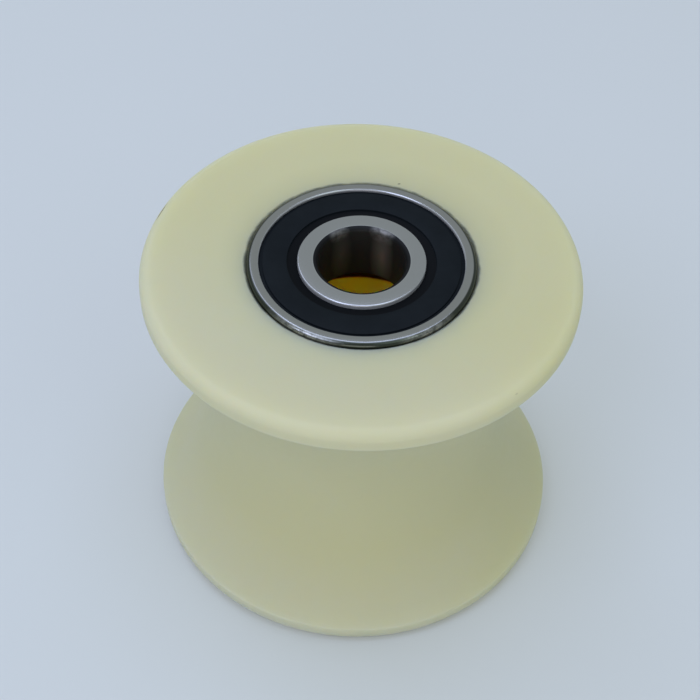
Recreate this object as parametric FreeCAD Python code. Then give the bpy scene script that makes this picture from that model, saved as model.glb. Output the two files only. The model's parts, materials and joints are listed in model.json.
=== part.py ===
import FreeCAD, Part
import math
import os

from FreeCAD import Vector

# U-groove gate wheel: a turned nylon wheel with a sealed ball bearing pressed into each end.
# Millimetres. The wheel turns about Z, and z = 0 is the middle of its groove.

# Nylon body
FLANGE_DIAMETER = 100.0
BODY_WIDTH = 80.0            # between the flat ends
BEARING_STANDOUT = 0.8       # each bearing stands this far out of the nylon
GROOVE_DEPTH = 15.0          # from the rim to the waist
RIM_WIDTH = 4.8              # the band beside the groove, before its edges are rounded
RIM_ROUND = 2.5              # outer edge of the end faces
LIP_ROUND = 0.5              # edge between the rim and the groove
SEAT_SHOULDER = 5.0          # height of the step that the bearing is pressed against
SEAT_LEAD_IN = 0.55          # chamfer at the mouth of the seat

# Bearing rings. With the balls and seals below, the bearing measures 20 x 52 x 15.
BORE_DIAMETER = 20.0
INNER_RING_WALL = 3.1875     # between the bore and the bottom of the ball track
OUTER_RING_WALL = 3.1875
TRACK_DEPTH = 1.95           # from the ring's land to the bottom of the ball track
TRACK_CONFORMITY = 1.04      # radius of the track's section over the radius of a ball
RING_CORNER = 1.1            # rounded corners of the bore and of the outside
FACE_CORNER = 0.3            # rounded outer corner of the inner ring's face

# Balls
BALL_DIAMETER = 9.525
BALL_COUNT = 7
TRACK_CLEARANCE = 0.05       # between a ball and either track

# Ribbon cage: two pressed halves riveted back to back between the balls
CAGE_THICKNESS = 0.7
POCKET_CLEARANCE = 0.1375    # between a ball and its pocket
CAGE_CLEARANCE = 0.7         # between the cage's edges and the rings' lands
RIVET_DIAMETER = 1.6
RIVET_HEAD_DIAMETER = 2.6
RIVET_HEAD_HEIGHT = 0.6
RIVET_CLEARANCE = 0.05

# Rubber seals, snapped into the outer ring, with a lip at the inner ring
SEAL_THICKNESS = 1.2
SEAL_RECESS = 0.4            # depth of the seal's face below the rings' faces
SEAL_CAGE_GAP = 0.3
SEAL_RIM_WALL = 2.75         # outer ring's wall round the seal
SEAL_LAND = 0.8              # depth of the edge that keeps the seal in
SEAL_MOUTH_BEVEL = 0.2       # bevel round the opening in the ring's face
SEAL_BEAD = 0.6              # how far the seal's bead reaches under that edge
SEAL_FIT = 0.05              # room round the bead
SEAL_RIM_GROOVE = 0.85       # width of the groove between the seal's face and the outer ring
SEAL_STEP = 0.6              # step in the inner ring's land that the lip runs on
LIP_GAP = 0.08               # between the lip and that step
LIP_WIDTH = 2.25             # the thinner zone at the seal's inner edge
LIP_DROP = 0.55              # how far that zone lies below the seal's face

AXIS = Vector(0, 0, 1)
ORIGIN = Vector(0, 0, 0)
FULL_TURN = 360.0
HALF_TURN = 180.0
SAME_POINT = 1e-6

ball_radius = BALL_DIAMETER / 2
track_radius = ball_radius * TRACK_CONFORMITY
bore_radius = BORE_DIAMETER / 2
inner_track_radius = bore_radius + INNER_RING_WALL
pitch_radius = inner_track_radius + TRACK_CLEARANCE + ball_radius
outer_track_radius = pitch_radius + ball_radius + TRACK_CLEARANCE
bearing_radius = outer_track_radius + OUTER_RING_WALL
inner_land_radius = inner_track_radius + TRACK_DEPTH
outer_land_radius = outer_track_radius - TRACK_DEPTH
half_pitch = HALF_TURN / BALL_COUNT         # angle from a ball to the rivet beside it

pocket_radius = ball_radius + POCKET_CLEARANCE
cage_height = pocket_radius + CAGE_THICKNESS
seal_floor = cage_height + SEAL_CAGE_GAP
seal_face = seal_floor + SEAL_THICKNESS
bearing_half_width = seal_face + SEAL_RECESS
bearing_offset = BODY_WIDTH / 2 + BEARING_STANDOUT - bearing_half_width

seal_opening_radius = bearing_radius - SEAL_RIM_WALL
seal_groove_radius = seal_opening_radius + SEAL_BEAD
lip_step_radius = inner_land_radius - SEAL_STEP


def at(radius, height):
    """A point of a section in the plane that the sections are drawn in."""
    return Vector(radius, 0, height)


def arc(centre, radius, start, end):
    """Three points of an arc about a point of the section, between two angles in degrees."""
    points = []
    for angle in (start, (start + end) / 2, end):
        turn = math.radians(angle)
        points.append(centre + at(radius * math.cos(turn), radius * math.sin(turn)))
    return tuple(points)


def mirrored(outline):
    """The same outline below z = 0, in the order that carries the path on."""
    flipped = []
    for item in reversed(outline):
        if isinstance(item, tuple):
            flipped.append(tuple(at(p.x, -p.z) for p in reversed(item)))
        else:
            flipped.append(at(item.x, -item.z))
    return flipped


def turned(outline):
    """Revolve a closed section, given as points and arcs that straight lines join, about Z."""
    runs = [item if isinstance(item, tuple) else (item,) for item in outline]
    edges = []
    for index, run in enumerate(runs):
        if len(run) > 1:
            edges.append(Part.Arc(*run).toShape())
        following = runs[(index + 1) % len(runs)][0]
        if not run[-1].isEqual(following, SAME_POINT):
            edges.append(Part.LineSegment(run[-1], following).toShape())
    section = Part.Face(Part.Wire(edges))
    return section.revolve(ORIGIN, AXIS, FULL_TURN)


def around_pitch_circle(shape, first_angle):
    """Copies of a shape at the pitch circle, one for each ball."""
    copies = []
    for index in range(BALL_COUNT):
        copy = shape.copy()
        copy.translate(at(pitch_radius, 0))
        copy.rotate(ORIGIN, AXIS, first_angle + FULL_TURN * index / BALL_COUNT)
        copies.append(copy)
    return copies


def wheel_body():
    """Nylon spool with a U groove, flat ends, two bearing seats and a hole between them."""
    rim_radius = FLANGE_DIAMETER / 2
    face = BODY_WIDTH / 2
    seat_floor = bearing_offset - bearing_half_width
    hole_radius = bearing_radius - SEAT_SHOULDER
    rim_round = min(RIM_ROUND, RIM_WIDTH - LIP_ROUND)

    half_groove = face - RIM_WIDTH
    groove_radius = (half_groove ** 2 + GROOVE_DEPTH ** 2) / (2 * GROOVE_DEPTH)
    groove_centre = at(rim_radius - GROOVE_DEPTH + groove_radius, 0)

    # The lip's round touches the rim on one side and the groove's arc on the other.
    lip_radius = rim_radius - LIP_ROUND
    lip_reach = groove_radius + LIP_ROUND
    lip_height = math.sqrt(lip_reach ** 2 - (groove_centre.x - lip_radius) ** 2)
    lip_angle = math.degrees(math.atan2(-lip_height, groove_centre.x - lip_radius))

    upper = [
        at(hole_radius, seat_floor),
        at(bearing_radius, seat_floor),
        at(bearing_radius, face - SEAT_LEAD_IN),
        at(bearing_radius + SEAT_LEAD_IN, face),
        arc(at(rim_radius - rim_round, face - rim_round), rim_round, 90, 0),
        arc(at(lip_radius, lip_height), LIP_ROUND, 0, lip_angle),
    ]
    groove = arc(groove_centre, groove_radius, HALF_TURN + lip_angle, HALF_TURN - lip_angle)
    return turned(upper + [groove] + mirrored(upper))


def outer_ring():
    """Ring with a ball track, rounded outer corners and an undercut for each seal."""
    centre = outer_track_radius - track_radius
    edge = math.sqrt(track_radius ** 2 - (outer_land_radius - centre) ** 2)
    slope = math.degrees(math.atan2(edge, outer_land_radius - centre))
    corner = at(bearing_radius - RING_CORNER, bearing_half_width - RING_CORNER)
    upper = [
        at(outer_land_radius, seal_floor),
        at(seal_groove_radius, seal_floor),
        at(seal_groove_radius, bearing_half_width - SEAL_LAND),
        at(seal_opening_radius, bearing_half_width - SEAL_LAND),
        at(seal_opening_radius, bearing_half_width - SEAL_MOUTH_BEVEL),
        at(seal_opening_radius + SEAL_MOUTH_BEVEL, bearing_half_width),
        arc(corner, RING_CORNER, 90, 0),
    ]
    track = arc(at(centre, 0), track_radius, -slope, slope)
    return turned(upper + mirrored(upper) + [track])


def inner_ring():
    """Ring with a ball track, rounded bore corners and a step for each seal's lip."""
    centre = inner_track_radius + track_radius
    edge = math.sqrt(track_radius ** 2 - (centre - inner_land_radius) ** 2)
    slope = math.degrees(math.atan2(edge, centre - inner_land_radius))
    step_height = seal_floor - SEAL_CAGE_GAP
    bore_corner = at(bore_radius + RING_CORNER, bearing_half_width - RING_CORNER)
    face_corner = at(lip_step_radius - FACE_CORNER, bearing_half_width - FACE_CORNER)
    upper = [
        arc(bore_corner, RING_CORNER, 180, 90),
        arc(face_corner, FACE_CORNER, 90, 0),
        at(lip_step_radius, step_height),
        at(inner_land_radius, step_height),
    ]
    track = arc(at(centre, 0), track_radius, HALF_TURN - slope, HALF_TURN + slope)
    return turned(upper + [track] + mirrored(upper))


def cage_half():
    """Flat band with a cup over each ball and a hole for each rivet."""
    inner = inner_land_radius + CAGE_CLEARANCE
    outer = outer_land_radius - CAGE_CLEARANCE
    band = Part.makeCylinder(outer, CAGE_THICKNESS).cut(Part.makeCylinder(inner, CAGE_THICKNESS))
    tube = Part.makeCylinder(outer, cage_height).cut(Part.makeCylinder(inner, cage_height))
    cups = [ball.common(tube) for ball in around_pitch_circle(Part.makeSphere(cage_height), 0)]
    pockets = around_pitch_circle(Part.makeSphere(pocket_radius), 0)
    hole = Part.makeCylinder(RIVET_DIAMETER / 2 + RIVET_CLEARANCE, CAGE_THICKNESS)
    holes = around_pitch_circle(hole, half_pitch)
    return band.multiFuse(cups).removeSplitter().cut(pockets + holes)


def rivet():
    """Shank with a low domed head on each side of the cage's two bands."""
    head_radius = RIVET_HEAD_DIAMETER / 2
    dome_radius = (head_radius ** 2 + RIVET_HEAD_HEIGHT ** 2) / (2 * RIVET_HEAD_HEIGHT)
    dome_centre = at(0, CAGE_THICKNESS + RIVET_HEAD_HEIGHT - dome_radius)
    rim_angle = math.degrees(math.acos(head_radius / dome_radius))
    upper = [
        arc(dome_centre, dome_radius, 90, rim_angle),
        at(RIVET_DIAMETER / 2, CAGE_THICKNESS),
    ]
    return turned(upper + mirrored(upper))


def seal():
    """Rubber washer with a bead under the outer ring's edge and a thin lip at the inner ring."""
    lip_radius = lip_step_radius + LIP_GAP
    bead_radius = seal_groove_radius - SEAL_FIT
    bead_top = bearing_half_width - SEAL_LAND - SEAL_FIT
    return turned([
        at(lip_radius, seal_floor),
        at(bead_radius, seal_floor),
        at(bead_radius, bead_top),
        at(seal_opening_radius - SEAL_RIM_GROOVE, bead_top),
        at(seal_opening_radius - SEAL_RIM_GROOVE, seal_face),
        at(lip_radius + LIP_WIDTH, seal_face),
        at(lip_radius + LIP_WIDTH, seal_face - LIP_DROP),
        at(lip_radius, seal_face - LIP_DROP),
    ])


def turned_over(shape):
    """The same piece facing down."""
    copy = shape.copy()
    copy.rotate(ORIGIN, Vector(1, 0, 0), HALF_TURN)
    return copy


def bearing_pieces(seal_names):
    """Every piece of one bearing, centred on the origin, by name."""
    top_cage = cage_half()
    top_seal = seal()
    upward_seal, downward_seal = seal_names
    pieces = {
        "outer_ring": outer_ring(),
        "inner_ring": inner_ring(),
        "cage_top": top_cage,
        "cage_bottom": turned_over(top_cage),
        "cage_rivets": Part.makeCompound(around_pitch_circle(rivet(), half_pitch)),
        upward_seal: top_seal,
        downward_seal: turned_over(top_seal),
    }
    for index, ball in enumerate(around_pitch_circle(Part.makeSphere(ball_radius), 0), start=1):
        pieces[f"ball_{index}"] = ball
    return pieces


def export(name, shape):
    shape.exportStep(f"parts/{name}.step")


os.makedirs("parts", exist_ok=True)
export("wheel_body", wheel_body())
bearings = {
    "upper": (bearing_offset, ("outboard_seal", "inboard_seal")),
    "lower": (-bearing_offset, ("inboard_seal", "outboard_seal")),
}
for end, (height, seal_names) in bearings.items():
    for name, shape in bearing_pieces(seal_names).items():
        shape.translate(Vector(0, 0, height))
        export(f"{end}_{name}", shape)
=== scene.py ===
import json
import math

import bpy
from mathutils import Matrix, Vector


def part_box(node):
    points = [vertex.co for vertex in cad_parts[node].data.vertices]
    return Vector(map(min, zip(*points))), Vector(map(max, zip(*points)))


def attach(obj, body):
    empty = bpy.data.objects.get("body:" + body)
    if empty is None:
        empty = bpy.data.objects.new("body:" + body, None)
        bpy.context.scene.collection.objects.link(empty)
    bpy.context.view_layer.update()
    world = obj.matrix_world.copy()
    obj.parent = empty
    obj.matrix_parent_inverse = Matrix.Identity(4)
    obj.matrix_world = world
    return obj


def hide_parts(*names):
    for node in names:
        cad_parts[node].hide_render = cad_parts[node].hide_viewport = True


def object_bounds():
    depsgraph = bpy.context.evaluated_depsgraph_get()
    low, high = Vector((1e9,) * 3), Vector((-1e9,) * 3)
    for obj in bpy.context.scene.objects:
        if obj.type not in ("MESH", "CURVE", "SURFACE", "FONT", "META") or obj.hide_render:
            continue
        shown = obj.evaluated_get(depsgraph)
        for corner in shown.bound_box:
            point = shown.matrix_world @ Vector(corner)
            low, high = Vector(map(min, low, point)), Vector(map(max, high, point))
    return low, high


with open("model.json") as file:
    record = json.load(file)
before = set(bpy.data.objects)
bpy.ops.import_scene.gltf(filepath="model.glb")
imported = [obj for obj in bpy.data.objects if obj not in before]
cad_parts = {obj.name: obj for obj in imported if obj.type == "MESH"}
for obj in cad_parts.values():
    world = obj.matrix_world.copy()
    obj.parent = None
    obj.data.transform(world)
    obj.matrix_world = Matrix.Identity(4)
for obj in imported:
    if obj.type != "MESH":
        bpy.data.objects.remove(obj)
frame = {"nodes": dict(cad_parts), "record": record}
cad_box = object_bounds()

MM = 0.001
ENDS = {"upper": 1.0, "lower": -1.0}    # which way each bearing faces

# The photograph's frame and the camera that took it, in pixels, metres and degrees
PHOTO_SIDE = 700
FOCAL_PIXELS = 1424.0
BEARING_PIXEL = (361.9, 259.2)          # where the middle of the upper bearing's face lies
CAMERA_DISTANCE = 0.3203                # from that middle
CAMERA_ELEVATION = 44.59
CAMERA_ROLL = 2.29
CLIP_START = 0.01
SENSOR_WIDTH = 36.0                     # millimetres, as lenses are quoted

# Outer sizes, which the frame gives, in millimetres
wheel_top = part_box("wheel_body")[1] / MM
ring_foot, ring_top = (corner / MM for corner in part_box("upper_outer_ring"))
RIM_RADIUS = wheel_top.x
FACE_HEIGHT = wheel_top.z
OUTER_RADIUS = ring_top.x
HALF_WIDTH = (ring_top.z - ring_foot.z) / 2.0
BEARING_HEIGHT = (ring_top.z + ring_foot.z) / 2.0   # of a bearing's middle above the wheel's middle

# Nylon wheel, millimetres
GROOVE_DEPTH = 15.0
GROOVE_HALF_WIDTH = 35.2
RIM_ROUND = 2.5
LIP_ROUND = 0.5
FACE_RING = 0.5                         # from the rim's round to a ring of points that keeps the face flat
SEAT_RADIUS = OUTER_RADIUS
SEAT_FLOOR = ring_foot.z
SEAT_LEAD_IN = 0.55
HUB_HOLE_RADIUS = 21.0

# Bearing, millimetres from its own middle
RING_CORNER = 1.1
BORE_RADIUS = 10.0
BORE_EDGE = BORE_RADIUS + RING_CORNER   # where the bore's corner meets the ring's face
OUTER_EDGE = OUTER_RADIUS - RING_CORNER
TRACK_RADIUS = 4.953
TRACK_CENTRES = {"inner": 18.1405, "outer": 17.8595}
INNER_LAND = 15.1375
OUTER_LAND = 20.8625
INNER_STEP = 14.5375
INNER_STEP_HEIGHT = 5.6
FACE_CORNER = 0.3
SEAL_OPENING = 23.25
SEAL_GROOVE = 23.85
SEAL_LAND_HEIGHT = 6.7
MOUTH_BEVEL = 0.2
SEAL_FLOOR = 5.9
SEAL_FACE = 7.1
SEAL_BEAD = 23.8
SEAL_BEAD_TOP = 6.65
SEAL_RIM = 22.4                         # outer edge of the seal's face
LIP_EDGE = 14.6175
LIP_STEP = LIP_EDGE + 2.25              # where the thin lip meets the seal's face
LIP_FLOOR = 6.55

# Steps in each arc, round each piece and across a broken edge
RIM_STEPS = 12
LIP_STEPS = 5
GROOVE_STEPS = 60
CORNER_STEPS = 8
FACE_CORNER_STEPS = 5
TRACK_STEPS = 24
WHEEL_STEPS = 256
RING_STEPS = 192
SEAL_STEPS = 160
EDGE_STEPS = 2

# Broken edges, millimetres
WHEEL_EDGE = 0.12
RING_EDGE = 0.06
SEAL_EDGE = 0.12
SHARP = 35.0                            # degrees between faces, from which an edge is broken
WELD = 1e-7                             # metres within which two points are one

# Noise patterns: features in a metre, detail, roughness
CLOUDS = (40.0, 3.0, 0.5)
RAGGED_EDGES = (260.0, 4.0, 0.5)
SCUFFS = (420.0, 4.0, 0.6)
TOOL_MARKS = (1800.0, 2.0, 0.5)
DULL_PATCHES = (95.0, 4.0, 0.6)
HIGHLIGHT_BREAKUP = (900.0, 3.0, 0.5)
GRINDING = (5200.0, 3.0, 0.5)
BALL_HAZE = (900.0, 3.0, 0.5)
SHEET_GRAIN = (1500.0, 4.0, 0.6)
RUBBER_BLOOM = (160.0, 4.0, 0.6)
RUBBER_GRAIN = (3500.0, 3.0, 0.5)
NOISE_SPREAD = (0.3, 0.7)               # most of a pattern's values lie between these

# Bumps: strength, height in millimetres
TOOL_BUMP = (0.05, 0.1)
GRINDING_BUMP = (0.05, 0.05)
SHEET_BUMP = (0.1, 0.05)
RUBBER_BUMP = (0.12, 0.05)

# Nylon: linear colours, and fades in millimetres
NYLON_PALE = (0.675, 0.655, 0.450)
NYLON_DEEP = (0.665, 0.640, 0.380)      # in the groove and towards one side; partly the nylon's own tone, partly painted light
DEEP_SIDE = (0.45, 0.9, 0.0)            # the way to that side
SIDE_FADE = (-35.0, -5.0)
SIDE_SHARE = 0.9
GROOVE_TOP_FADE = (32.0, 38.0)
GROOVE_FOOT_FADE = (-34.0, -18.0)
CLOUD_SHARE = 0.5
CREASE_DIRT_AND_SHADE = (0.19, 0.20, 0.155)      # dirt and painted shade in the crease where the nylon meets the bearing
CREASE_FADE = (SEAT_RADIUS - 0.2, SEAT_RADIUS + 0.3)
CREASE_RAGGED = 1.0
NYLON_HUB_PAINTED_GLOW = (0.995, 0.81, 0.28)         # painted glow: amber that stands in for light reaching the hub's wall through the thick of the nylon
HUB_FADE = (HUB_HOLE_RADIUS + 0.2, HUB_HOLE_RADIUS + 1.0)
HUB_DARK_BAND = (0.10, 0.07, 0.03)          # darker band on the hub's wall towards each bearing, where the painted glow stops
HUB_DARK_FADE = (13.9, 14.4)
HUB_DARK_RAGGED = 0.6
NYLON_REACH = (1.0, 0.85, 0.60)         # how far light of each colour soaks in, as shares of one depth
HUB_REACH = (3.2, 2.0, 0.3)
SOAK_DEPTH = 12.0
NYLON_ROUGHNESS = (0.46, 0.56)
NYLON_IOR = 1.5
NYLON_SPECULAR = 0.15
MARK_COLOUR = (0.15, 0.14, 0.10)

# Rings: linear colours, and fades in millimetres
STEEL_FACE = (0.515, 0.53, 0.565)
BORE_EDGE_HIGHLIGHT = (0.60, 0.62, 0.65)       # painted highlight along the edge of the bore
# painted shade: the bore is coloured near black
STEEL_BORE = (0.055, 0.054, 0.053)
STEEL_OUTER = (0.445, 0.455, 0.465)
# painted shade: the bore's corner is coloured near black
BORE_CORNER = (0.020, 0.021, 0.023)
# the outer corner: partly its own dark unground finish, partly painted shade
OUTER_CORNER = (0.060, 0.070, 0.057)
BORE_STREAK_HIGHLIGHT = (0.30, 0.285, 0.26)        # painted highlights: light streaks along the bore
BORE_CORNER_HIGHLIGHT = (0.29, 0.285, 0.28)       # painted highlights: light spots on the bore's corner
RIM_HIGHLIGHT = (0.38, 0.385, 0.37)         # painted highlights: light streaks on the outer corner
BORE_FADE = (BORE_EDGE - 0.15, BORE_EDGE - 0.07)
OUTER_CORNER_FADE = (OUTER_EDGE + 0.20, OUTER_EDGE + 0.35)
DULL_SHARE = 0.95                       # of a zone's colour, in its dull patches
DULL_RANGE = (0.58, 0.85)               # of the noise that makes them
BREAKUP_RANGE = (0.35, 0.6)
LEAST_BREAKUP = 0.3
STEEL_ROUGHNESS = (0.15, 0.19)
BORE_ROUGHER = 0.38
LAY_STRENGTH = 0.3
LAY_TURN = 0.25                         # of a full turn, from along the grinding to across it
# Zones of a ring from its bore outwards: radius in millimetres, colour, share of bare metal
STEEL_ZONES = (
    (BORE_RADIUS + 0.03, STEEL_BORE, 0.9),
    (BORE_RADIUS + 0.12, BORE_CORNER, 0.9),
    (BORE_EDGE - 0.15, BORE_CORNER, 0.9),
    (BORE_EDGE - 0.07, BORE_EDGE_HIGHLIGHT, 1.0),
    (BORE_EDGE + 0.02, BORE_EDGE_HIGHLIGHT, 1.0),
    (BORE_EDGE + 0.10, STEEL_FACE, 1.0),
    (INNER_STEP - 0.12, STEEL_FACE, 1.0),
    (INNER_STEP - 0.04, STEEL_FACE, 0.5),
    (SEAL_OPENING + 0.03, STEEL_FACE, 0.5),
    (SEAL_OPENING + 0.17, STEEL_OUTER, 1.0),
    (OUTER_EDGE + 0.12, STEEL_OUTER, 1.0),
    (OUTER_EDGE + 0.35, OUTER_CORNER, 0.9),
)

# Balls, cages and seals
BALL_STEEL = (0.66, 0.66, 0.67)
BALL_ROUGHNESS = (0.05, 0.12)
SHEET_STEEL = (0.40, 0.40, 0.41)
SHEET_ROUGHNESS = (0.28, 0.45)
RUBBER_BLACK = (0.0050, 0.0080, 0.0110)
RUBBER_GREY = (0.0075, 0.0110, 0.0145)
# painted shade on the recessed lip
RUBBER_LIP_SHADE = (0.0015, 0.0025, 0.0040)
BLOOM_RANGE = (0.35, 0.7)
LIP_FADE = (LIP_STEP - 0.17, LIP_STEP + 0.03)
RUBBER_ROUGHNESS = 0.55
RUBBER_SPECULAR = 0.095

# Marks: middle in millimetres, turn in degrees, half sizes in millimetres, strength, share that doesn't fade
NYLON_MARKS = (
    ((-46.95, 14.4, 39.4), 70.5, (3.9, 0.35, 0.35), 0.8, 0.5),
    ((33.3, -36.4, 39.2), 40.0, (0.5, 0.2, 0.2), 0.25, 0.5),
    ((8.1, 26.7, 40.0), 15.0, (0.45, 0.25, 0.2), 0.8, 0.5),
    # the wide, faint last mark is painted shade on the face round the bearing
    ((1.5, 4.0, 40.0), 0.0, (34.0, 31.0, 4.0), 0.2, 0.5),
)
BORE_STREAK_HIGHLIGHTS = (
    ((4.7, 8.8, 33.0), -28.0, (3.3, 2.0, 10.0), 1.0, 0.0),
    ((-5.0, 8.7, 33.0), 30.0, (3.0, 2.0, 9.0), 0.45, 0.0),
)
BORE_CORNER_HIGHLIGHTS = (
    ((-5.6, 8.7, 39.9), 33.0, (3.0, 1.8, 2.2), 0.9, 0.3),
    ((4.6, 9.2, 39.7), -26.6, (3.7, 1.8, 2.8), 1.0, 0.3),
)
RIM_HIGHLIGHTS = (
    ((-12.4, -22.2, 40.4), -29.2, (11.0, 4.0, 2.5), 1.0, 0.2),
    ((14.9, -20.6, 40.4), 35.9, (8.0, 4.0, 2.5), 1.0, 0.2),
)

# Floor
FLOOR_SIDE = 6.0                        # metres
FLOOR_COLOUR = (0.55, 0.615, 0.675)
FLOOR_GLOW = (0.132, 0.118, 0.090)      # paler to the eye than to the light it throws back
FLOOR_ROUGHNESS = 0.7
FLOOR_SPECULAR = 0.2

# Light: a plain soft sky and square soft lamps.
# A lamp has its place and side in metres, its power in watts and its colour.
SKY = (0.37, 0.40, 0.39)
LAMPS = (
    ("lamp_left", (-0.60, -0.60, 1.05), 0.7, 3.95, (0.66, 0.72, 1.0)),
    ("lamp_left_back", (-0.60, 0.60, 1.05), 0.7, 1.7, (0.66, 0.72, 1.0)),
    ("lamp_right", (0.60, -0.60, 1.05), 0.7, 1.1, (0.85, 1.0, 0.95)),
    ("lamp_front", (0.0, -1.25, 0.28), 0.6, 2.1, (1.0, 0.91, 0.95)),
    ("skylight", (0.0, 0.20, 1.33), 1.0, 5.3, (0.65, 0.73, 1.0)),
)


class Section:
    """A piece drawn as a lathe hand draws it: one point at a time, in millimetres, then turned."""

    def __init__(self, name, radius, height, raised=0.0, facing=1.0):
        """Start at a point. The section is lifted by raised, and facing -1 turns it upside down."""
        self.raised = raised
        self.facing = facing
        self.start = self.pen = (radius, height)
        bpy.ops.object.select_all(action="DESELECT")
        bpy.ops.mesh.primitive_plane_add(size=MM)
        self.piece = bpy.context.object
        self.piece.name = name
        self.piece.data.name = name
        bpy.ops.object.mode_set(mode="EDIT")
        bpy.ops.mesh.select_mode(type="VERT")
        bpy.ops.mesh.select_all(action="SELECT")
        bpy.ops.mesh.merge(type="CENTER")
        bpy.ops.transform.translate(value=self.place(radius, height))

    def place(self, radius, height):
        """A point of the section, in metres in the wheel's frame."""
        return Vector((radius, 0.0, self.facing * height + self.raised)) * MM

    def cut_to(self, *points):
        """Straight cuts from point to point."""
        for point in points:
            step = self.place(*point) - self.place(*self.pen)
            bpy.ops.mesh.extrude_vertices_move(TRANSFORM_OT_translate={"value": step})
            self.pen = point

    def round_about(self, radius, height, degrees, steps):
        """An arc about a centre, anticlockwise where degrees is positive."""
        turn = math.radians(degrees)
        bpy.ops.mesh.spin(
            steps=steps,
            angle=turn * self.facing,
            center=self.place(radius, height),
            axis=(0.0, 1.0, 0.0),
        )
        across, along = self.pen[0] - radius, self.pen[1] - height
        self.pen = (
            radius + across * math.cos(turn) - along * math.sin(turn),
            height + across * math.sin(turn) + along * math.cos(turn),
        )

    def turn(self, steps, edge_break):
        """Close the section, turn it about the axis and break its sharp edges."""
        self.cut_to(self.start)
        bpy.ops.mesh.select_all(action="SELECT")
        bpy.ops.mesh.remove_doubles(threshold=WELD)
        bpy.ops.mesh.spin(steps=steps, angle=math.radians(360.0), center=(0, 0, 0), axis=(0, 0, 1))
        bpy.ops.mesh.select_all(action="SELECT")
        bpy.ops.mesh.remove_doubles(threshold=WELD)
        bpy.ops.mesh.normals_make_consistent(inside=False)
        bpy.ops.mesh.select_all(action="DESELECT")
        bpy.ops.mesh.select_mode(type="EDGE")
        bpy.ops.mesh.edges_select_sharp(sharpness=math.radians(SHARP))
        bpy.ops.mesh.bevel(offset=edge_break * MM, segments=EDGE_STEPS, affect="EDGES", clamp_overlap=True)
        bpy.ops.object.mode_set(mode="OBJECT")
        bpy.ops.object.shade_smooth_by_angle(angle=math.radians(SHARP))
        return self.piece


def turn_wheel():
    """Nylon spool with a U groove, rounded rims, two bearing seats and a hole between them."""
    groove_radius = (GROOVE_HALF_WIDTH ** 2 + GROOVE_DEPTH ** 2) / (2.0 * GROOVE_DEPTH)
    groove_centre = RIM_RADIUS - GROOVE_DEPTH + groove_radius
    lip_radius = RIM_RADIUS - LIP_ROUND
    lip_height = math.sqrt((groove_radius + LIP_ROUND) ** 2 - (groove_centre - lip_radius) ** 2)
    lip_angle = math.degrees(math.atan2(lip_height, groove_centre - lip_radius))
    round_radius = RIM_RADIUS - RIM_ROUND
    round_height = FACE_HEIGHT - RIM_ROUND

    wheel = Section("wheel", HUB_HOLE_RADIUS, SEAT_FLOOR)
    wheel.cut_to((SEAT_RADIUS, SEAT_FLOOR), (SEAT_RADIUS, FACE_HEIGHT - SEAT_LEAD_IN))
    wheel.cut_to((SEAT_RADIUS + SEAT_LEAD_IN, FACE_HEIGHT))
    wheel.cut_to((round_radius - FACE_RING, FACE_HEIGHT), (round_radius, FACE_HEIGHT))
    wheel.round_about(round_radius, round_height, -90.0, RIM_STEPS)
    wheel.cut_to((RIM_RADIUS, lip_height))
    wheel.round_about(lip_radius, lip_height, -lip_angle, LIP_STEPS)
    wheel.round_about(groove_centre, 0.0, 2.0 * lip_angle, GROOVE_STEPS)
    wheel.round_about(lip_radius, -lip_height, -lip_angle, LIP_STEPS)
    wheel.cut_to((RIM_RADIUS, -round_height))
    wheel.round_about(round_radius, -round_height, -90.0, RIM_STEPS)
    wheel.cut_to((round_radius - FACE_RING, -FACE_HEIGHT))
    wheel.cut_to((SEAT_RADIUS + SEAT_LEAD_IN, -FACE_HEIGHT))
    wheel.cut_to((SEAT_RADIUS, SEAT_LEAD_IN - FACE_HEIGHT), (SEAT_RADIUS, -SEAT_FLOOR))
    wheel.cut_to((HUB_HOLE_RADIUS, -SEAT_FLOOR))
    return wheel.turn(WHEEL_STEPS, WHEEL_EDGE)


def track_angle(centre, land):
    """Half the angle that a ball track's section takes up, seen from its centre."""
    return math.degrees(math.acos(abs(land - centre) / TRACK_RADIUS))


def turn_outer_ring(end, facing):
    """Ring with rounded outer corners, a seal undercut at each face and a ball track."""
    corner_height = HALF_WIDTH - RING_CORNER
    track = TRACK_CENTRES["outer"]
    slope = track_angle(track, OUTER_LAND)

    ring = Section(f"{end}_outer_ring_turned", OUTER_LAND, SEAL_FLOOR, facing * BEARING_HEIGHT, facing)
    ring.cut_to((SEAL_GROOVE, SEAL_FLOOR), (SEAL_GROOVE, SEAL_LAND_HEIGHT))
    ring.cut_to((SEAL_OPENING, SEAL_LAND_HEIGHT), (SEAL_OPENING, HALF_WIDTH - MOUTH_BEVEL))
    ring.cut_to((SEAL_OPENING + MOUTH_BEVEL, HALF_WIDTH), (OUTER_EDGE, HALF_WIDTH))
    ring.round_about(OUTER_EDGE, corner_height, -90.0, CORNER_STEPS)
    ring.cut_to((OUTER_RADIUS, -corner_height))
    ring.round_about(OUTER_EDGE, -corner_height, -90.0, CORNER_STEPS)
    ring.cut_to((SEAL_OPENING + MOUTH_BEVEL, -HALF_WIDTH))
    ring.cut_to((SEAL_OPENING, MOUTH_BEVEL - HALF_WIDTH), (SEAL_OPENING, -SEAL_LAND_HEIGHT))
    ring.cut_to((SEAL_GROOVE, -SEAL_LAND_HEIGHT), (SEAL_GROOVE, -SEAL_FLOOR))
    ring.cut_to((OUTER_LAND, -SEAL_FLOOR))
    ring.cut_to((OUTER_LAND, -TRACK_RADIUS * math.sin(math.radians(slope))))
    ring.round_about(track, 0.0, 2.0 * slope, TRACK_STEPS)
    return ring.turn(RING_STEPS, RING_EDGE)


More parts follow.
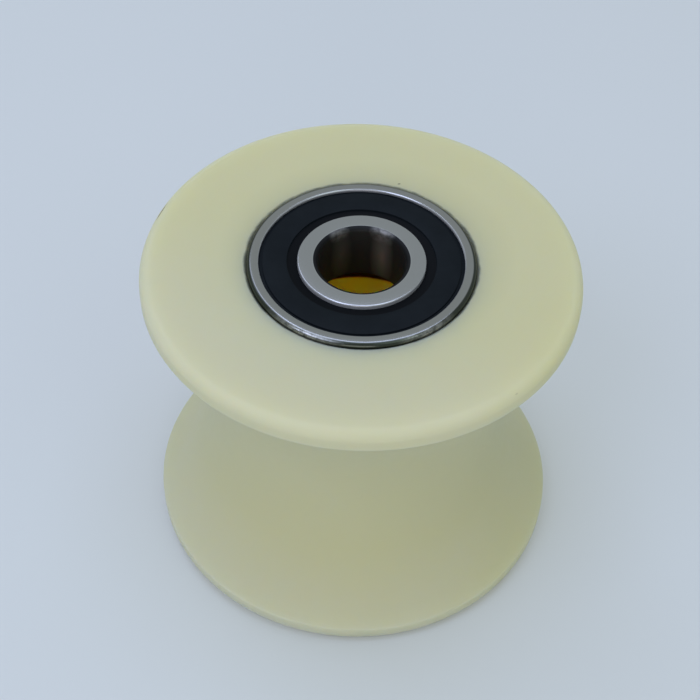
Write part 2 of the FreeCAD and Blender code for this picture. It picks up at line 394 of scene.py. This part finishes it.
def turn_inner_ring(end, facing):
    """Ring with rounded bore corners, a step for each seal's lip and a ball track."""
    bore_height = HALF_WIDTH - RING_CORNER
    face_edge = INNER_STEP - FACE_CORNER
    face_height = HALF_WIDTH - FACE_CORNER
    track = TRACK_CENTRES["inner"]
    slope = track_angle(track, INNER_LAND)
    track_height = TRACK_RADIUS * math.sin(math.radians(slope))

    ring = Section(f"{end}_inner_ring_turned", BORE_RADIUS, bore_height, facing * BEARING_HEIGHT, facing)
    ring.round_about(BORE_EDGE, bore_height, -90.0, CORNER_STEPS)
    ring.cut_to((face_edge, HALF_WIDTH))
    ring.round_about(face_edge, face_height, -90.0, FACE_CORNER_STEPS)
    ring.cut_to((INNER_STEP, INNER_STEP_HEIGHT), (INNER_LAND, INNER_STEP_HEIGHT), (INNER_LAND, track_height))
    ring.round_about(track, 0.0, 2.0 * slope, TRACK_STEPS)
    ring.cut_to((INNER_LAND, -INNER_STEP_HEIGHT), (INNER_STEP, -INNER_STEP_HEIGHT))
    ring.cut_to((INNER_STEP, -face_height))
    ring.round_about(face_edge, -face_height, -90.0, FACE_CORNER_STEPS)
    ring.cut_to((BORE_EDGE, -HALF_WIDTH))
    ring.round_about(BORE_EDGE, -bore_height, -90.0, CORNER_STEPS)
    return ring.turn(RING_STEPS, RING_EDGE)


def turn_seal(end, facing):
    """Rubber washer with a bead under the outer ring's edge and a thin lip at the inner ring."""
    seal = Section(f"{end}_outboard_seal_moulded", LIP_EDGE, SEAL_FLOOR, facing * BEARING_HEIGHT, facing)
    seal.cut_to((SEAL_BEAD, SEAL_FLOOR), (SEAL_BEAD, SEAL_BEAD_TOP), (SEAL_RIM, SEAL_BEAD_TOP))
    seal.cut_to((SEAL_RIM, SEAL_FACE), (LIP_STEP, SEAL_FACE))
    seal.cut_to((LIP_STEP, LIP_FLOOR), (LIP_EDGE, LIP_FLOOR))
    return seal.turn(SEAL_STEPS, SEAL_EDGE)


def plug(tree, made, inputs):
    """Set or link a node's sockets by name or number."""
    for socket, value in inputs.items():
        if isinstance(value, bpy.types.NodeSocket):
            tree.links.new(value, made.inputs[socket])
        else:
            made.inputs[socket].default_value = value


def node(tree, kind, inputs, **properties):
    """Add a shader node, set its properties, then set or link its sockets."""
    made = tree.nodes.new(kind)
    for name, value in properties.items():
        setattr(made, name, value)
    plug(tree, made, inputs)
    return made


def rgba(colour):
    """A colour for a socket: three numbers get their fourth, and a link stays as it is."""
    if isinstance(colour, bpy.types.NodeSocket):
        return colour
    return (*colour, 1.0)


def new_material(name):
    """A material with its node tree and its surface shader."""
    material = bpy.data.materials.new(name)
    material.use_nodes = True
    tree = material.node_tree
    return material, tree, tree.nodes["Principled BSDF"]


def place_in_object(tree):
    return node(tree, "ShaderNodeTexCoord", {}).outputs["Object"]


def reckon(tree, operation, *values):
    """One step of arithmetic on numbers."""
    return node(tree, "ShaderNodeMath", dict(enumerate(values)), operation=operation).outputs[0]


def reckon_vector(tree, operation, *values, result="Vector"):
    """One step of arithmetic on vectors, whose result is a Vector or a Value."""
    return node(tree, "ShaderNodeVectorMath", dict(enumerate(values)), operation=operation).outputs[result]


def distance_from_axis(tree, place):
    flat = reckon_vector(tree, "MULTIPLY", place, (1.0, 1.0, 0.0))
    return reckon_vector(tree, "LENGTH", flat, result="Value")


def height_of(tree, place):
    return node(tree, "ShaderNodeSeparateXYZ", {0: place}).outputs["Z"]


def profile_place(tree, distance, height):
    """Distance from the axis and height alone, so that a pattern on it runs in rings round the wheel."""
    return node(tree, "ShaderNodeCombineXYZ", {"X": distance, "Z": height}).outputs[0]


def noise(tree, place, scale, detail, roughness):
    inputs = {"Vector": place, "Scale": scale, "Detail": detail, "Roughness": roughness}
    return node(tree, "ShaderNodeTexNoise", inputs).outputs[0]


def remap(tree, value, low, high, to_low=0.0, to_high=1.0):
    """Stretch one range of values to another, and go no further than its ends."""
    inputs = {"Value": value, "From Min": low, "From Max": high, "To Min": to_low, "To Max": to_high}
    return node(tree, "ShaderNodeMapRange", inputs).outputs[0]


def rise(tree, value, fade):
    """0 before a fade in millimetres and 1 after it."""
    return remap(tree, value, fade[0] * MM, fade[1] * MM)


def fall(tree, value, fade):
    """1 before a fade in millimetres and 0 after it."""
    return remap(tree, value, fade[0] * MM, fade[1] * MM, 1.0, 0.0)


def blend_colours(tree, factor, first, second):
    """A mix node's colours are its inputs 6 and 7 and its output 2."""
    inputs = {"Factor": factor, 6: rgba(first), 7: rgba(second)}
    return node(tree, "ShaderNodeMix", inputs, data_type="RGBA").outputs[2]


def blend_vectors(tree, factor, first, second):
    """A mix node's vectors are its inputs 4 and 5 and its output 1."""
    inputs = {"Factor": factor, 4: first, 5: second}
    return node(tree, "ShaderNodeMix", inputs, data_type="VECTOR").outputs[1]


def bump(tree, height, strength, rise_mm):
    inputs = {"Height": height, "Strength": strength, "Distance": rise_mm * MM}
    return node(tree, "ShaderNodeBump", inputs).outputs[0]


def mark(tree, place, middle, turn, half_sizes, strength, core):
    """How strongly an oval mark shows at a place. Outside its core, a share of its size, it fades."""
    inputs = {
        "Vector": place,
        "Location": Vector(middle) * MM,
        "Rotation": (0.0, 0.0, math.radians(turn)),
        "Scale": Vector(half_sizes) * MM,
    }
    inside = node(tree, "ShaderNodeMapping", inputs, vector_type="TEXTURE").outputs[0]
    away = reckon_vector(tree, "LENGTH", inside, result="Value")
    return remap(tree, away, core, 1.0, strength, 0.0)


def lay_marks(tree, place, colour, marks, mark_colour, mask=1.0):
    """Lay marks over a colour, as far as the mask lets them show."""
    for placed in marks:
        shown = reckon(tree, "MULTIPLY", mark(tree, place, *placed), mask)
        colour = blend_colours(tree, shown, colour, mark_colour)
    return colour


def nylon_tone_and_painted_light(tree, place, height):
    """Pale towards the front, deeper in the groove and towards the other side, partly the nylon's own tone
    and partly painted light, with faint clouds.
    """
    across = reckon_vector(tree, "DOT_PRODUCT", place, DEEP_SIDE, result="Value")
    side = reckon(tree, "MULTIPLY", rise(tree, across, SIDE_FADE), SIDE_SHARE)
    below_face = fall(tree, height, GROOVE_TOP_FADE)
    above_foot = rise(tree, height, GROOVE_FOOT_FADE)
    in_groove = reckon(tree, "MULTIPLY", below_face, above_foot)
    deeper = reckon(tree, "MAXIMUM", side, in_groove)
    cloudy = reckon(tree, "MULTIPLY_ADD", noise(tree, place, *CLOUDS), CLOUD_SHARE, deeper)
    mean_cloud = CLOUD_SHARE / 2.0
    return blend_colours(tree, remap(tree, cloudy, mean_cloud, 1.0 + mean_cloud), NYLON_PALE, NYLON_DEEP)


def natural_nylon():
    """Milky turned nylon: light soaks deep into it, and tool marks run round it. An amber glow on the hub's
    wall and part of the warmer tint in the groove and to one side are painted light.
    """
    material, tree, shader = new_material("natural_nylon")
    place = place_in_object(tree)
    distance = distance_from_axis(tree, place)
    height = height_of(tree, place)
    ragged_noise = noise(tree, place, *RAGGED_EDGES)

    # Dirt and painted shade darken the crease at the bearing's edge.
    ragged = reckon(tree, "MULTIPLY_ADD", ragged_noise, -CREASE_RAGGED * MM, distance)
    in_crease = fall(tree, ragged, CREASE_FADE)
    colour = blend_colours(tree, in_crease, nylon_tone_and_painted_light(tree, place, height), CREASE_DIRT_AND_SHADE)
    colour = lay_marks(tree, place, colour, NYLON_MARKS, MARK_COLOUR)

    # Painted glow on the hub's wall, with a darker band towards each bearing.
    in_hub = fall(tree, distance, HUB_FADE)
    from_middle = reckon(tree, "ABSOLUTE", height)
    uneven = reckon(tree, "MULTIPLY_ADD", ragged_noise, HUB_DARK_RAGGED * MM, from_middle)
    hub = blend_colours(tree, rise(tree, uneven, HUB_DARK_FADE), NYLON_HUB_PAINTED_GLOW, HUB_DARK_BAND)

    scuffs = noise(tree, place, *SCUFFS)
    tool_marks = noise(tree, profile_place(tree, distance, height), *TOOL_MARKS)
    plug(tree, shader, {
        "Base Color": blend_colours(tree, in_hub, colour, hub),
        "Roughness": remap(tree, scuffs, *NOISE_SPREAD, *NYLON_ROUGHNESS),
        "IOR": NYLON_IOR,
        "Specular IOR Level": NYLON_SPECULAR,
        "Subsurface Weight": 1.0,
        "Subsurface Radius": blend_vectors(tree, in_hub, NYLON_REACH, HUB_REACH),
        "Subsurface Scale": SOAK_DEPTH * MM,
        "Normal": bump(tree, tool_marks, *TOOL_BUMP),
    })
    return material


def zones(tree, distance, stops):
    """Colour, and a value beside it, by distance from the axis, from stops in millimetres."""
    reach = stops[-1][0]
    share = reckon(tree, "DIVIDE", distance, reach * MM)
    ramp = node(tree, "ShaderNodeValToRGB", {0: share})
    elements = ramp.color_ramp.elements
    while len(elements) < len(stops):
        elements.new(1.0)
    for element, (radius, colour, value) in zip(elements, stops):
        element.position = radius / reach
        element.color = (*colour, value)
    return ramp.outputs["Color"], ramp.outputs["Alpha"]


def ground_steel():
    """Bearing rings: faces with a fine circular lay; the bore and its corner darkened with painted shade,
    the outer corners dark partly of their own finish and partly with painted shade; painted highlights on
    the bore's edge, in the bore and on the corners.
    """
    material, tree, shader = new_material("ground_steel")
    place = place_in_object(tree)
    distance = distance_from_axis(tree, place)
    in_bore = fall(tree, distance, BORE_FADE)
    on_outer_corner = rise(tree, distance, OUTER_CORNER_FADE)

    bright, bare = zones(tree, distance, STEEL_ZONES)
    patches = noise(tree, place, *DULL_PATCHES)
    dull = reckon_vector(tree, "MULTIPLY", bright, (DULL_SHARE,) * 3)
    colour = blend_colours(tree, remap(tree, patches, *DULL_RANGE), bright, dull)
    # Patchy noise that breaks up the painted highlights on the corners.
    breakup = remap(tree, noise(tree, place, *HIGHLIGHT_BREAKUP), *BREAKUP_RANGE, LEAST_BREAKUP, 1.0)
    bore_highlight_breakup = reckon(tree, "MULTIPLY", breakup, in_bore)
    corner_highlight_breakup = reckon(tree, "MULTIPLY", breakup, on_outer_corner)
    colour = lay_marks(tree, place, colour, BORE_STREAK_HIGHLIGHTS, BORE_STREAK_HIGHLIGHT)
    colour = lay_marks(tree, place, colour, BORE_CORNER_HIGHLIGHTS, BORE_CORNER_HIGHLIGHT, bore_highlight_breakup)
    colour = lay_marks(tree, place, colour, RIM_HIGHLIGHTS, RIM_HIGHLIGHT, corner_highlight_breakup)

    ground = remap(tree, patches, *NOISE_SPREAD, *STEEL_ROUGHNESS)
    rings = noise(tree, profile_place(tree, distance, height_of(tree, place)), *GRINDING)
    plug(tree, shader, {
        "Base Color": colour,
        "Metallic": bare,
        "Roughness": reckon(tree, "MULTIPLY_ADD", in_bore, BORE_ROUGHER, ground),
        "Anisotropic": LAY_STRENGTH,
        "Anisotropic Rotation": LAY_TURN,
        "Tangent": node(tree, "ShaderNodeTangent", {}, direction_type="RADIAL", axis="Z").outputs[0],
        "Normal": bump(tree, rings, *GRINDING_BUMP),
    })
    return material


def polished_steel():
    """Balls: bright steel with a faint haze."""
    material, tree, shader = new_material("polished_steel")
    haze = noise(tree, place_in_object(tree), *BALL_HAZE)
    plug(tree, shader, {
        "Base Color": rgba(BALL_STEEL),
        "Metallic": 1.0,
        "Roughness": remap(tree, haze, *NOISE_SPREAD, *BALL_ROUGHNESS),
    })
    return material


def pressed_sheet():
    """Cage halves and rivets: sheet steel, dulled by the press."""
    material, tree, shader = new_material("pressed_sheet")
    grain = noise(tree, place_in_object(tree), *SHEET_GRAIN)
    plug(tree, shader, {
        "Base Color": rgba(SHEET_STEEL),
        "Metallic": 1.0,
        "Roughness": remap(tree, grain, *NOISE_SPREAD, *SHEET_ROUGHNESS),
        "Normal": bump(tree, grain, *SHEET_BUMP),
    })
    return material


def moulded_rubber():
    """Seals: black rubber with a faint moulded grain, darker on the recessed lip with painted shade."""
    material, tree, shader = new_material("moulded_rubber")
    place = place_in_object(tree)
    bloom = noise(tree, place, *RUBBER_BLOOM)
    colour = blend_colours(tree, remap(tree, bloom, *BLOOM_RANGE), RUBBER_BLACK, RUBBER_GREY)
    on_lip = fall(tree, distance_from_axis(tree, place), LIP_FADE)
    plug(tree, shader, {
        "Base Color": blend_colours(tree, on_lip, colour, RUBBER_LIP_SHADE),
        "Roughness": RUBBER_ROUGHNESS,
        "Specular IOR Level": RUBBER_SPECULAR,
        "Normal": bump(tree, noise(tree, place, *RUBBER_GRAIN), *RUBBER_BUMP),
    })
    return material


def pale_floor():
    """Matt floor that looks paler than the light it throws back, with the wheel's shadow kept."""
    material, tree, shader = new_material("pale_floor")
    ray = node(tree, "ShaderNodeLightPath", {}).outputs
    seen = reckon(tree, "MAXIMUM", ray["Is Camera Ray"], ray["Is Glossy Ray"])
    plug(tree, shader, {
        "Base Color": rgba(FLOOR_COLOUR),
        "Roughness": FLOOR_ROUGHNESS,
        "Specular IOR Level": FLOOR_SPECULAR,
        "Emission Color": rgba(FLOOR_GLOW),
        "Emission Strength": reckon(tree, "MAXIMUM", seen, ray["Is Transmission Ray"]),
    })
    return material


def paint(painted, material):
    painted.data.materials.clear()
    painted.data.materials.append(material)


def dress_the_frame(finishes):
    """Give every node the finish of its material slot."""
    for part in frame["record"]["subparts"]:
        paint(frame["nodes"][part["node"]], finishes[part["material_slot"]])


def stand_for(piece, cad_node, body, slot, finishes):
    """The piece shows in the node's place, moves with its body and has its slot's finish."""
    paint(piece, finishes[slot])
    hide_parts(cad_node)
    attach(piece, body)


def turn_pieces(finishes):
    """Model the wheel, the rings and the outer seals, each in place of its plain solid."""
    stand_for(turn_wheel(), "wheel_body", "wheel", "nylon", finishes)
    for end, facing in ENDS.items():
        outer_ring = turn_outer_ring(end, facing)
        stand_for(outer_ring, f"{end}_outer_ring", "wheel", "bearing_steel", finishes)
        inner_ring = turn_inner_ring(end, facing)
        stand_for(inner_ring, f"{end}_inner_ring", f"{end}_axle_ring", "bearing_steel", finishes)
        seal = turn_seal(end, facing)
        stand_for(seal, f"{end}_outboard_seal", "wheel", "seal_rubber", finishes)


def lay_floor():
    """A wide pale floor under the lower bearing."""
    bpy.ops.object.select_all(action="DESELECT")
    bpy.ops.mesh.primitive_plane_add(size=FLOOR_SIDE, location=(0.0, 0.0, cad_box[0].z))
    floor = bpy.context.object
    floor.name = "floor"
    paint(floor, pale_floor())


def add_softbox(name, place, side, watts, colour):
    """A square soft light that faces the wheel."""
    lamp = bpy.data.lights.new(name, "AREA")
    lamp.energy = watts
    lamp.color = colour
    lamp.size = side
    softbox = bpy.data.objects.new(name, lamp)
    softbox.location = place
    softbox.rotation_euler = (-Vector(place)).to_track_quat("-Z", "Y").to_euler()
    bpy.context.scene.collection.objects.link(softbox)


def light_the_studio():
    world = bpy.data.worlds.new("studio")
    world.use_nodes = True
    world.node_tree.nodes["Background"].inputs["Color"].default_value = rgba(SKY)
    bpy.context.scene.world = world
    for lamp in LAMPS:
        add_softbox(*lamp)


def place_camera():
    """Stand the camera where the photograph was taken from."""
    elevation = math.radians(CAMERA_ELEVATION)
    back = Vector((0.0, -math.cos(elevation), math.sin(elevation)))
    bearing_face = Vector((0.0, 0.0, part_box("upper_outer_ring")[1].z))

    right = Vector((1.0, 0.0, 0.0))
    up = back.cross(right)
    looking = Matrix((right, up, back)).transposed()
    centre = PHOTO_SIDE / 2
    across = (BEARING_PIXEL[0] - centre) / FOCAL_PIXELS
    above = (centre - BEARING_PIXEL[1]) / FOCAL_PIXELS
    to_bearing = Vector((across, above, -1.0))
    off_centre = Vector((0.0, 0.0, -1.0)).rotation_difference(to_bearing).to_matrix()
    roll = Matrix.Rotation(math.radians(-CAMERA_ROLL), 3, "Z")
    turn = looking @ (off_centre @ roll).transposed()

    lens = bpy.data.cameras.new("photo_camera")
    lens.sensor_width = SENSOR_WIDTH
    lens.lens = FOCAL_PIXELS / PHOTO_SIDE * SENSOR_WIDTH
    lens.clip_start = CLIP_START
    camera = bpy.data.objects.new("photo_camera", lens)
    camera.matrix_world = Matrix.Translation(bearing_face + back * CAMERA_DISTANCE) @ turn.to_4x4()
    bpy.context.scene.collection.objects.link(camera)
    bpy.context.scene.camera = camera


bpy.context.scene.view_settings.view_transform = "Standard"
finishes = {
    "nylon": natural_nylon(),
    "bearing_steel": ground_steel(),
    "ball_steel": polished_steel(),
    "cage_steel": pressed_sheet(),
    "seal_rubber": moulded_rubber(),
}
dress_the_frame(finishes)
turn_pieces(finishes)
lay_floor()
light_the_studio()
place_camera()
